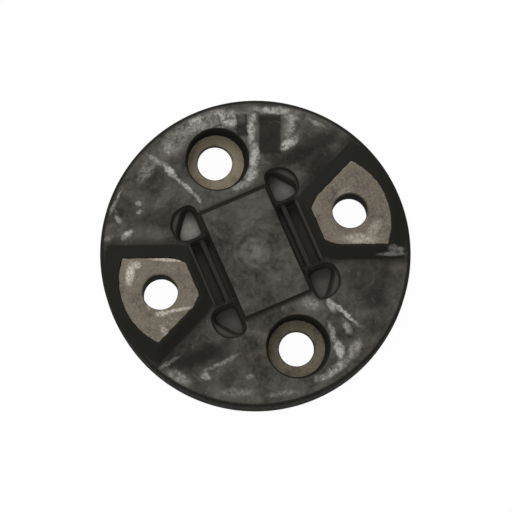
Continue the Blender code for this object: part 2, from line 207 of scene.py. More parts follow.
# Dust lying on the lower slope of the right boss, laid out in the same way
SLOPE_DUST = (
    (33.0, -0.5, 3.8, 0.5, 2, 0.4),
    (34.2, 0.3, 2.2, 0.9, 14, 0.42),
    (33.2, 0.9, 1.3, 0.9, 30, 0.34),
)
# Dark places where the bloom is taken away, laid out in the same way; those beside the feet of the bosses
# are painted shade
DARK_MARKS_AND_SHADE = (
    (4.4, 23.6, 2.6, 2.6, 60, 0.35),
    (10.2, 24.0, 8.6, 2.5, 24, 0.85),
    (16.2, 27.6, 6.6, 2.8, 22, 0.8),
    (19.0, 28.6, 5.0, 2.4, -30, 0.45),
    (15.6, 22.0, 5.8, 3.8, 55, 0.72),
    (-13.2, -25.4, 9.2, 2.7, 21, 0.95),
    (-18.0, -26.8, 5.4, 2.5, 16, 0.85),
    (-6.2, -30.0, 4.2, 2.3, 62, 0.5),
    (28.4, -10.5, 4.9, 4.7, 0, 0.7),
    (27.4, -6.2, 9.4, 5.2, -8, 0.52),
    (30.6, -16.4, 5.2, 3.6, 50, 0.35),
    (8.4, -26.8, 3.8, 1.8, 80, 0.3),
    (-26.0, 17.4, 4.4, 3.6, 40, 0.4),
    (-22.8, 8.0, 5.4, 3.2, 0, 0.4),
    (-15.6, 23.0, 1.8, 4.2, -30, 0.4),
    (-6.9, 9.2, 3.2, 5.0, 23, 0.3),
    (6.5, -10.0, 3.0, 4.0, 23, 0.25),
)
# Squared patches wiped dark, as if something had lain on the face
WIPED_PATCHES = (
    (3.55, 29.0, 2.65, 4.8, 1, 0.85),
    (-3.3, 31.4, 1.3, 2.7, 4, 0.8),
)
# Dust on the floors of the pockets: centre, size and strength
POCKET_DUST = (
    (-16.4, 5.9, 4.4, 0.68),
    (7.4, 15.6, 4.4, 0.3),
    (-5.6, -17.4, 4.8, 0.1),
    (15.9, -8.4, 4.8, 0.14),
)
# Bright rubbed places on the pads, laid out like the marks on the rubber
SCUFFS = (
    (-30.2, -5.6, 1.2, 3.2, -8, 0.95),
    (-28.6, -3.4, 1.1, 1.0, 0, 0.9),
    (-21.4, -2.2, 4.2, 0.45, -3, 0.75),
    (-19.0, -14.4, 4.6, 0.45, 10, 0.85),
    (-22.4, -15.2, 2.0, 0.8, 5, 0.8),
    (-21.6, -19.8, 1.0, 2.4, 30, 0.5),
    (-25.6, -11.6, 0.7, 3.2, 0, 0.45),
    (25.4, 3.0, 4.8, 1.5, -2, 0.55),
    (28.6, 5.4, 3.2, 1.4, 55, 0.34),
    (21.4, 13.0, 2.2, 3.6, -30, 0.25),
)
# The heights between which steel goes from a pad's finish to a sunk ring's
SUNK_STEEL = (4.5 * MM, 3.0 * MM)
# Where the film on the steel is darker
DARK_FILM = (
    (10.0, -23.2, 8.6, 8.6, 0, 0.34),
    (23.6, 12.4, 8.0, 8.0, 0, 0.12),
)

# The grid that the rubber is wrapped on, the triangles that it keeps, and the reach over which
# slopes are measured, to draw points on and for normals
MARGIN = 0.8 * MM
TRIANGLES = 190000
DRAW_REACH = 0.02 * MM
NORMAL_REACH = 0.06 * MM
LEAST_STEEPNESS = 0.2
# Points in each loop of an insert, and where and in how many steps the plate's edge is sought
LOOP_STEPS = 240
EDGE_START = PLATE_INNER_X / 3
EDGE_STEPS = 60

# Stage: floor, shift of the camera to the side, sky, and each lamp's name, place, size, power
FLOOR_HALF = 3.0
FLOOR_GLOW = 0.975
CAMERA_ASIDE = 0.15 * MM
SKY_STRENGTH = 0.65
LAMPS = (
    ("key", (0.05, 0.75, 0.65), 0.7, 6.0),
    ("fill", (-0.6, -0.2, 0.7), 0.8, 2.0),
)

# From the front insert on +X to the others
TURN_OVER = Matrix.Rotation(math.pi, 4, (1, 1, 0))
HALF_TURN = Matrix.Rotation(math.pi, 4, "Z")


class RubberSettings(PropertyGroup):
    """Sizes and colours of the moulded disc."""

    step: FloatProperty(
        name="Grid step",
        description="Spacing of the grid under the rubber surface",
        default=0.24 * MM,
        unit="LENGTH",
    )
    edge_round: FloatProperty(
        name="Edge rounding",
        description="How far an edge of the moulding blends into its neighbour",
        default=0.45 * MM,
        unit="LENGTH",
    )
    clean: FloatVectorProperty(
        name="Clean rubber",
        description="Colour of the bare rubber on slopes and walls",
        subtype="COLOR",
        default=(0.0156, 0.0153, 0.0125),
    )
    bloom: FloatVectorProperty(
        name="Bloom",
        description="Colour of the grey bloom on the flat faces",
        subtype="COLOR",
        default=(0.092, 0.086, 0.0745),
    )
    dust: FloatVectorProperty(
        name="Dust",
        description="Colour of the pale dust in streaks and on pocket floors",
        subtype="COLOR",
        default=(0.36, 0.346, 0.318),
    )


class SteelSettings(PropertyGroup):
    """Sizes and colours of the inserts."""

    edge_break: FloatProperty(
        name="Edge break",
        description="Rounding of the pad plate's upper edge",
        default=0.3 * MM,
        unit="LENGTH",
    )
    metal: FloatVectorProperty(
        name="Steel",
        description="Colour of the dull plated steel",
        subtype="COLOR",
        default=(0.158, 0.1345, 0.1015),
    )
    scuff: FloatVectorProperty(
        name="Scuffs",
        description="Colour where the plating is rubbed bright",
        subtype="COLOR",
        default=(0.52, 0.472, 0.4),
    )
    # Almost black: painted shade on the walls of the bolt holes, and the colour of the darker stains on the
    # steel
    bore: FloatVectorProperty(
        name="Bore",
        description="Colour of the unlit, greasy walls of the bolt holes",
        subtype="COLOR",
        default=(0.012, 0.011, 0.009),
    )
    stain: FloatVectorProperty(
        name="Stain",
        description="Colour of the brown film on the sleeve rings",
        subtype="COLOR",
        default=(0.235, 0.2, 0.135),
    )


class StageSettings(PropertyGroup):
    """Camera, floor and light."""

    distance: FloatProperty(
        name="Camera distance",
        description="From the camera to the middle of the coupling",
        default=0.604,
        unit="LENGTH",
    )
    tilt: FloatProperty(
        name="Camera tilt",
        description="How far the camera leans from the steering axis",
        default=math.radians(8.7),
        subtype="ANGLE",
    )
    roll: FloatProperty(
        name="Turn",
        description="How far the bolt line is turned from the picture's level line",
        default=PICTURE_TURN,
        subtype="ANGLE",
    )
    lens: FloatProperty(
        name="Focal length",
        description="Lens on a 36 mm sensor",
        default=173.7,
        unit="CAMERA",
    )
    floor: FloatVectorProperty(
        name="Floor",
        description="Colour of the plain floor",
        subtype="COLOR",
        default=(0.9, 0.9, 0.9),
    )


def soft_max(first, second, radius):
    """The larger of two distances. Where they differ by less than the radius, a quarter of the
    squared shortfall over the radius is added, which rounds the edge between the two surfaces."""
    shortfall = np.maximum(radius - np.abs(first - second), 0)
    return np.maximum(first, second) + shortfall * shortfall / (4 * radius)


def soft_min(first, second, radius):
    """The smaller of two distances, with the inner corner between them filled in the same way."""
    return -soft_max(-first, -second, radius)


def beyond_line(x, y, point, angle):
    """Distance in plan to the left of a line through a point, along an angle."""
    return (y - point[1]) * math.cos(angle) - (x - point[0]) * math.sin(angle)


def plate_distance(x, y):
    """Distance in plan outside the bare metal of the pad plate on +X: the largest of the distances
    beyond its inner flat, cut corner, straight side and outer arc, with soft corners, mirrored
    about X. Rubber flash creeps over the edge by the mean of a few plane waves of the place."""
    side_y = np.abs(y)
    flat = PLATE_INNER_X - x
    cut = beyond_line(x, side_y, PLATE_SHOULDER, PLATE_CUT_ANGLE)
    side = beyond_line(x, side_y, PLATE_SHOULDER, PLATE_SIDE_ANGLE)
    arc = np.hypot(x - PLATE_ARC_X, y) - PLATE_ARC_RADIUS
    inner = soft_max(flat, cut, PLATE_CORNER_ROUND)
    plate = soft_max(soft_max(inner, side, PLATE_CORNER_ROUND), arc, PLATE_CORNER_ROUND)
    waves = sum(np.sin((a * x + b * y) / MM + start) for a, b, start in FLASH_WAVES)
    return plate + FLASH_CREEP * (1 + waves / len(FLASH_WAVES))


def slope_distance(outside, z, run):
    """Distance to a plane that falls from the pad's height to the face over a run in plan."""
    rise = PAD_Z - FACE_Z
    return (outside * rise + (z - PAD_Z) * run) / math.hypot(rise, run)


def boss_distance(x, y, z, edge):
    """Distance to the bosses on +X and -X: a flat top just wider than the plate, plane slopes to
    the block and the sides, and an outer slope shared out between the plate's arc and the rim."""
    side_x = np.abs(x)
    side_y = np.abs(y)
    inner = slope_distance(PLATE_INNER_X - BOSS_TOP_GROW - side_x, z, BOSS_INNER_RUN)
    cut = beyond_line(side_x, side_y, PLATE_SHOULDER, PLATE_CUT_ANGLE) - BOSS_TOP_GROW
    side = beyond_line(side_x, side_y, PLATE_SHOULDER, PLATE_SIDE_ANGLE) - BOSS_TOP_GROW
    radius = np.hypot(x, y)
    outside_top = np.hypot(side_x - PLATE_ARC_X, y) - PLATE_ARC_RADIUS - BOSS_TOP_GROW
    inside_foot = BOSS_FOOT_RADIUS - radius
    fall = (PAD_Z - FACE_Z) * outside_top / (outside_top + inside_foot)
    outer = (z - PAD_Z + fall) * math.sqrt(0.5)
    boss = soft_max(slope_distance(cut, z, BOSS_CUT_RUN), inner, edge)
    boss = soft_max(boss, slope_distance(side, z, BOSS_SIDE_RUN), edge)
    boss = soft_max(boss, outer, edge)
    boss = soft_max(boss, z - PAD_Z, edge / 2)
    return soft_max(boss, radius - BOSS_FOOT_RADIUS - BOSS_RIM_OVERLAP, edge)


def rectangle_distance(x, y, half):
    """Distance in plan outside a rectangle, the larger of the two ways out."""
    return np.maximum(np.abs(x) - half[0], np.abs(y) - half[1])


def groove_distance(x, y, z):
    """Distance to the V-groove round the block: it rises on both sides of its rectangle."""
    beside = np.abs(rectangle_distance(x, y, GROOVE_HALF))
    bottom = FACE_Z - GROOVE_DEPTH
    return (bottom - z + GROOVE_SLOPE * beside) / math.hypot(1, GROOVE_SLOPE)


def trench_distance(x, y, z, edge):
    """Distance to the two trenches: a long box with leaning walls, less the rib inside it."""
    side_x = np.abs(x)
    lean = DRAFT * (z - FACE_Z)
    middle = (TRENCH_X[0] + TRENCH_X[1]) / 2
    half = (TRENCH_X[1] - TRENCH_X[0]) / 2
    walls = soft_max(np.abs(side_x - middle) - half, np.abs(y) - TRENCH_HALF_LENGTH, edge)
    box = soft_max(walls - lean, FACE_Z - TRENCH_DEPTH - z, edge)
    rib_side = np.abs(side_x - RIB_X) - RIB_HALF_WIDTH + lean + DRAFT * RIB_DROP
    rib = soft_max(rib_side, z - FACE_Z + RIB_DROP, edge)
    return soft_max(box, -rib, edge)


def pocket_distance(x, y, z, edge):
    """Distance to the four corner pockets: a circle held back by the block and the trench, sunk
    to a ledge, and inside it the part behind a leaning flat, sunk to the floor."""
    side_x = np.abs(x)
    side_y = np.abs(y)
    lean = DRAFT * (z - FACE_Z)
    away_x = side_x - POCKET_CENTRE[0]
    away_y = side_y - POCKET_CENTRE[1]
    around = np.hypot(away_x, away_y) - POCKET_RADIUS
    soft = 3 * edge
    mouth = soft_max(soft_max(around, POCKET_SIDES[0] - side_x, soft), POCKET_SIDES[1] - side_y, soft)
    across = away_x * math.cos(POCKET_FLAT_ANGLE) + away_y * math.sin(POCKET_FLAT_ANGLE)
    below_ledge = np.maximum(FACE_Z - POCKET_LEDGE_DEPTH - z, 0)
    flat = across - POCKET_FLAT_DISTANCE + POCKET_FLAT_LEAN * below_ledge
    ledge = soft_max(mouth - lean, FACE_Z - POCKET_LEDGE_DEPTH - z, edge)
    well = soft_max(soft_max(mouth - lean, flat, soft), FACE_Z - POCKET_DEPTH - z, edge)
    return soft_min(ledge, well, edge)


def recess_distance(x, y, z, edge):
    """Distance to the round recesses on +Y and -Y: a cone that narrows down to the ring, and
    leans a little because its core stood off the bolt hole."""
    share = (z + SLEEVE_END_Z) / (FACE_Z + SLEEVE_END_Z)
    radius = RECESS_FLOOR_RADIUS + (RECESS_MOUTH_RADIUS - RECESS_FLOOR_RADIUS) * share
    upper = UPPER_SHIFT[0] + (UPPER_SHIFT[1] - UPPER_SHIFT[0]) * share
    lower = LOWER_SHIFT[0] + (LOWER_SHIFT[1] - LOWER_SHIFT[0]) * share
    shift = np.where(y > 0, upper, lower)
    away_x = x - shift * math.cos(SHIFT_ANGLE)
    away_y = y - np.where(y > 0, HOLE_X, -HOLE_X) - shift * math.sin(SHIFT_ANGLE)
    around = np.hypot(away_x, away_y)
    return soft_max(around - radius, -SLEEVE_END_Z - z, edge / 2)


def seat_distance(x, y, z):
    """Distance to the room that the front inserts take: the plate's, and the sleeve's below it."""
    side_x = np.abs(x)
    plate = np.maximum(plate_distance(side_x, y), PAD_Z - PLATE_THICKNESS - z)
    around = np.hypot(side_x - HOLE_X, y) - SLEEVE_RADIUS
    sleeve = np.maximum(around, np.maximum(SLEEVE_END_Z - z, z - PAD_Z))
    return np.minimum(plate, sleeve)


def face_relief(x, y, z, body, edge):
    """Adds to the body what stands on the front face and takes away what is sunk in it."""
    body = soft_min(body, boss_distance(x, y, z, edge), edge)
    block = rectangle_distance(x, y, BLOCK_HALF)
    block = soft_max(block, z - FACE_Z - BLOCK_RISE, BLOCK_EDGE_ROUND)
    body = soft_min(body, block, edge / 2)
    body = soft_max(body, -groove_distance(x, y, z), edge / 2)
    body = soft_max(body, -trench_distance(x, y, z, edge), edge)
    body = soft_max(body, -pocket_distance(x, y, z, edge), edge)
    return soft_max(body, -recess_distance(x, y, z, edge), RECESS_MOUTH_ROUND)


def rubber_distance(x, y, z, edge):
    """Distance outside the moulded rubber: a thick disc with rounded rims, the relief of the front
    face, and the same relief turned over onto the rear face, less the room of the inserts."""
    rim = np.hypot(x, y) - DISC_RADIUS + PARTING_HEIGHT
    rim = rim - PARTING_HEIGHT * np.exp(-((z / PARTING_WIDTH) ** 2))
    nib = np.sqrt(sum((c - p) ** 2 for c, p in zip((x, y, z), NIB_PLACE))) - NIB_RADIUS
    body = np.minimum(soft_max(rim, np.abs(z) - FACE_Z, RIM_ROUND), nib)
    front = face_relief(x, y, z, body, edge)
    rear = face_relief(y, x, -z, body, edge)
    both = np.where(z > 0, front, rear)
    both = np.maximum(both, -recess_distance(x, y, z, edge))
    both = np.maximum(both, -recess_distance(y, x, -z, edge))
    both = np.maximum(both, -seat_distance(x, y, z))
    return np.maximum(both, -seat_distance(y, x, -z))


def steepest(distance, points, reach):
    """Slope of a distance function at points, from its change over a short reach each way."""
    slopes = []
    for axis in range(3):
        shift = np.zeros(3)
        shift[axis] = reach
        ahead = distance(*(points + shift).T)
        behind = distance(*(points - shift).T)
        slopes.append((ahead - behind) / (2 * reach))
    return np.column_stack(slopes)


def drawn_on(distance, points, reach, rounds=3):
    """Points moved along the slope until the distance is nought there."""
    for _ in range(rounds):
        slope = steepest(distance, points, reach)
        steep = np.maximum(np.sum(slope * slope, axis=1), LEAST_STEEPNESS)
        points = points - slope * (distance(*points.T) / steep)[:, None]
    return points


def wrapped(distance, low, high, step):
    """The zero level of a distance function as quads, by the net method.

    Each grid edge whose ends lie on two sides of the surface gives a crossing point. Each cell's
    point is the mean of the crossings on its edges, and each such edge is closed by a quad of the
    four cells round it.
    """
    axes = [np.arange(start, end + step, step) for start, end in zip(low, high)]
    grid = np.meshgrid(*axes, indexing="ij", sparse=True)
    field = distance(*grid)
    shape = np.array(field.shape)
    cells = []
    crossings = []
    turned = []
    for axis in range(3):
        lead = np.moveaxis(field, axis, 0)
        rows = np.argwhere((lead[:-1] < 0) != (lead[1:] < 0))
        start = lead[tuple(rows.T)]
        end = lead[tuple((rows + (1, 0, 0)).T)]
        rows = np.insert(rows[:, 1:], axis, rows[:, 0], axis=1)
        place = rows.astype(float)
        place[:, axis] += start / (start - end)
        first, second = np.eye(3, dtype=int)[[(axis + 1) % 3, (axis + 2) % 3]]
        around = np.stack((rows, rows - first, rows - first - second, rows - second), axis=1)
        cells.append(np.ravel_multi_index(around.reshape(-1, 3).T, shape))
        crossings.append(np.repeat(place, 4, axis=0))
        turned.append(start > 0)
    cells = np.concatenate(cells)
    crossings = np.concatenate(crossings)
    turned = np.concatenate(turned)
    corner = np.unique(cells, return_inverse=True)[1]
    count = np.bincount(corner)
    points = np.column_stack([np.bincount(corner, crossings[:, a]) / count for a in range(3)])
    quads = corner.reshape(-1, 4)
    quads[turned] = quads[turned, ::-1]
    return np.array([a[0] for a in axes]) + points * step, quads


def mesh_from(name, points, faces):
    mesh = bpy.data.meshes.new(name)
    mesh.from_pydata(points.tolist(), [], faces.tolist())
    mesh.validate()
    return mesh


def linked(name, mesh):
    piece = bpy.data.objects.new(name, mesh)
    bpy.context.scene.collection.objects.link(piece)
    return piece


def thinned(name, mesh, triangles):
    """The mesh with its flat stretches in fewer triangles."""
    piece = linked(name, mesh)
    thin = piece.modifiers.new("thin", "DECIMATE")
    thin.ratio = min(1.0, triangles / (2 * len(mesh.polygons)))
    graph = bpy.context.evaluated_depsgraph_get()
    result = bpy.data.meshes.new_from_object(piece.evaluated_get(graph))
    bpy.data.objects.remove(piece)
    bpy.data.meshes.remove(mesh)
    return result


def mesh_points(mesh):
    flat = np.empty(3 * len(mesh.vertices), dtype=np.float32)
    mesh.vertices.foreach_get("co", flat)
    return flat.reshape(-1, 3).astype(float)


def rubber_mesh(step, edge):
    """The rubber's surface, wrapped, thinned and drawn on, with normals along the slope."""

    def distance(x, y, z):
        return rubber_distance(x, y, z, edge)

    reach = np.array((DISC_RADIUS, DISC_RADIUS, PAD_Z)) + MARGIN
    points, quads = wrapped(distance, -reach, reach, step)
    points = drawn_on(distance, points, DRAW_REACH)
    mesh = thinned("rubber", mesh_from("rubber_grid", points, quads), TRIANGLES)
    points = drawn_on(distance, mesh_points(mesh), DRAW_REACH, rounds=1)
    mesh.vertices.foreach_set("co", points.astype(np.float32).ravel())
    slope = steepest(distance, points, NORMAL_REACH)
    mesh.shade_smooth()
    mesh.normals_split_custom_set_from_vertices(
        slope / np.maximum(np.linalg.norm(slope, axis=1), 1e-6)[:, None]
    )
    return mesh


def plate_reach(angle):
    """How far the pad plate's edge lies from the bolt hole's axis, in each direction: a point
    steps out along the ray by its distance to the edge until it gets there."""
    reach = np.full(len(angle), EDGE_START)
    for _ in range(EDGE_STEPS):
        reach = reach - plate_distance(HOLE_X + reach * np.cos(angle), reach * np.sin(angle))
    return reach


def insert_mesh(edge_break, stepped):
    """A steel insert on +X: one closed sheet of loops, from the bolt hole out over the plate, down
    its edge, under it, down the sleeve and back up the bore. Each loop is a reach and a height."""
    angle = np.linspace(0, 2 * math.pi, LOOP_STEPS, endpoint=False)
    plate = plate_reach(angle)
    upper = LOCATING_RADIUS if stepped else BOLT_HOLE_RADIUS
    loops = [(upper, PAD_Z - BORE_CHAMFER), (upper + BORE_CHAMFER, PAD_Z)]
    loops += [
        (upper + BORE_CHAMFER + (plate - edge_break - upper - BORE_CHAMFER) * share, PAD_Z)
        for share in (0.03, 0.25, 0.5, 0.75, 0.97, 1.0)
    ]
    for turn in np.linspace(0, math.pi / 2, 6)[1:]:
        inset = edge_break * (1 - math.sin(turn))
        loops.append((plate - inset, PAD_Z - edge_break * (1 - math.cos(turn))))
    loops += [
        (plate, PAD_Z - PLATE_THICKNESS + PLATE_UNDER_BREAK),
        (plate - PLATE_UNDER_BREAK, PAD_Z - PLATE_THICKNESS),
        (SLEEVE_RADIUS, PAD_Z - PLATE_THICKNESS),
        (SLEEVE_RADIUS, SLEEVE_END_Z + SLEEVE_END_BREAK),
        (SLEEVE_RADIUS - SLEEVE_END_BREAK, SLEEVE_END_Z),
        (BOLT_HOLE_RADIUS + BORE_CHAMFER + SLEEVE_END_RIM, SLEEVE_END_Z),
        (BOLT_HOLE_RADIUS + BORE_CHAMFER, SLEEVE_END_Z),
        (BOLT_HOLE_RADIUS, SLEEVE_END_Z + BORE_CHAMFER),
    ]
    if stepped:
        step_z = SLEEVE_END_Z + RING_THICKNESS
        loops += [(BOLT_HOLE_RADIUS, step_z), (LOCATING_RADIUS, step_z)]
    rings = [
        np.column_stack(
            (HOLE_X + reach * np.cos(angle), reach * np.sin(angle), np.full(LOOP_STEPS, height))
        )
        for reach, height in loops
    ]
    row, column = np.meshgrid(np.arange(len(loops)), np.arange(LOOP_STEPS), indexing="ij")
    row, column = row.ravel(), column.ravel()
    below, beside = (row + 1) % len(loops), (column + 1) % LOOP_STEPS
    corners = ((row, column), (below, column), (below, beside), (row, beside))
    faces = np.column_stack([r * LOOP_STEPS + c for r, c in corners])
    mesh = mesh_from("insert", np.vstack(rings), faces)
    # The walls of the bolt holes take the second material, almost black as painted shade
    walls = np.isin(row, (len(loops) - 1, len(loops) - 3) if stepped else (len(loops) - 1,))
    mesh.polygons.foreach_set("material_index", walls.astype(np.int32))
    mesh.shade_smooth()
    mesh.set_sharp_from_angle(angle=INSERT_SHARP_ANGLE)
    return mesh


class Nodes:
    """Short ways to add the nodes of one material and to join them."""

    def __init__(self, name):
        self.material = bpy.data.materials.new(name)
        self.material.use_nodes = True
        self.tree = self.material.node_tree
        self.shader = self.tree.nodes["Principled BSDF"]
        self.place = self.add("ShaderNodeTexCoord").outputs["Object"]
        self.normal = self.add("ShaderNodeNewGeometry").outputs["Normal"]

    def add(self, kind, **values):
        node = self.tree.nodes.new(kind)
        for name, value in values.items():
            setattr(node, name, value)
        return node

    def join(self, source, target):
        if isinstance(source, bpy.types.NodeSocket):
            self.tree.links.new(source, target)
        else:
            target.default_value = source

    def math(self, operation, first, second=0.0, third=0.0, clamp=False):
        node = self.add("ShaderNodeMath", operation=operation, use_clamp=clamp)
        for socket, value in zip(node.inputs, (first, second, third)):
            self.join(value, socket)
        return node.outputs[0]

    def vector(self, operation, first, second=(0.0, 0.0, 0.0)):
        node = self.add("ShaderNodeVectorMath", operation=operation)
        self.join(first, node.inputs[0])
        self.join(second, node.inputs[1])
        return node.outputs[0]

    def split(self, vector):
        node = self.add("ShaderNodeSeparateXYZ")
        self.join(vector, node.inputs[0])
        return node.outputs

    def ramp(self, value, low, high, to_low=0.0, to_high=1.0):
        """A value spread smoothly from low to high onto a new range."""
        node = self.add("ShaderNodeMapRange", interpolation_type="SMOOTHSTEP")
        self.join(value, node.inputs["Value"])
        node.inputs["From Min"].default_value = low
        node.inputs["From Max"].default_value = high
        node.inputs["To Min"].default_value = to_low
        node.inputs["To Max"].default_value = to_high
        return node.outputs["Result"]

    def noise(self, size, detail=3.0, roughness=0.55, distortion=0.0, output="Fac"):
        """Cloudy noise with patches of about the given size."""
        node = self.add("ShaderNodeTexNoise")
        self.join(self.place, node.inputs["Vector"])
        node.inputs["Scale"].default_value = 1 / size
        node.inputs["Detail"].default_value = detail
        node.inputs["Roughness"].default_value = roughness
        node.inputs["Distortion"].default_value = distortion
        return node.outputs[output]

    def mix(self, share, first, second):
        node = self.add("ShaderNodeMix", data_type="RGBA")
        self.join(share, node.inputs["Factor"])
        for value, name in ((first, "A"), (second, "B")):
            socket = next(s for s in node.inputs if s.name == name and s.type == "RGBA")
            self.join(value if isinstance(value, bpy.types.NodeSocket) else (*value, 1.0), socket)
        return next(s for s in node.outputs if s.type == "RGBA")

    def picture_plan(self, ragged):
        """The place in plan, turned until the picture's level line is X, and pushed about by noise
        so that the edges of marks come out ragged."""
        push = self.vector("SUBTRACT", self.noise(RAGGED_SIZE, 5.0, 0.7, output="Color"), (0.5, 0.5, 0.5))
        push = self.vector("MULTIPLY", push, (ragged, ragged, 0.0))
        flat = self.vector("MULTIPLY", self.place, (1.0, 1.0, 0.0))
        turn = self.add("ShaderNodeMapping", vector_type="POINT")
        self.join(self.vector("ADD", flat, push), turn.inputs["Vector"])
        turn.inputs["Rotation"].default_value = (0.0, 0.0, PICTURE_TURN)
        return turn.outputs["Vector"]

    def mark(self, plan, x, y, length, width, angle, strength, edge=0.4, squared=False):
        """An oval mark: its strength in the middle, falling to nought at its edge. A squared one
        is a rectangle that is even up to its edge."""
        node = self.add("ShaderNodeMapping", vector_type="TEXTURE")
        self.join(plan, node.inputs["Vector"])
        node.inputs["Location"].default_value = (x * MM, y * MM, 0.0)
        node.inputs["Rotation"].default_value = (0.0, 0.0, math.radians(angle))
        reach = 1.0 if squared else MARK_REACH
        node.inputs["Scale"].default_value = (length * MM * reach, width * MM * reach, 1.0)
        if squared:
            across, up, _ = self.split(self.vector("ABSOLUTE", node.outputs["Vector"]))
            return self.ramp(self.math("MAXIMUM", across, up), *SQUARED_EDGE, 0.0, strength)
        fade = self.add("ShaderNodeTexGradient", gradient_type="SPHERICAL")
        self.join(node.outputs["Vector"], fade.inputs["Vector"])
        return self.ramp(fade.outputs["Fac"], 0.0, 1.0 - edge / reach, 0.0, strength)

    def marks(self, plan, listed, **shape):
        """The strongest of the listed marks at each point, on the front only."""
        share = 0.0
        for values in listed:
            share = self.math("MAXIMUM", share, self.mark(plan, *values, **shape))
        front = self.math("GREATER_THAN", self.split(self.place)[2], 0.0)
        return self.math("MULTIPLY", share, front)

    def all_of(self, *shares):
        """Shares multiplied together."""
        product = shares[0]
        for share in shares[1:]:
            product = self.math("MULTIPLY", product, share)
        return product

    def strongest(self, *shares):
        most = shares[0]
        for share in shares[1:]:
            most = self.math("MAXIMUM", most, share)
        return most

    def rest_of(self, share):
        return self.math("SUBTRACT", 1.0, share)

    def blend(self, share, first, second):
        """A number that goes from second to first as the share goes from nought to one."""
        apart = self.math("SUBTRACT", first, second)
        return self.math("MULTIPLY_ADD", apart, share, second)

    def bump(self, height, distance, strength, under=None):
        node = self.add("ShaderNodeBump")
        self.join(height, node.inputs["Height"])
        node.inputs["Distance"].default_value = distance
        node.inputs["Strength"].default_value = strength
        if under is not None:
            self.join(under, node.inputs["Normal"])
        return node.outputs["Normal"]


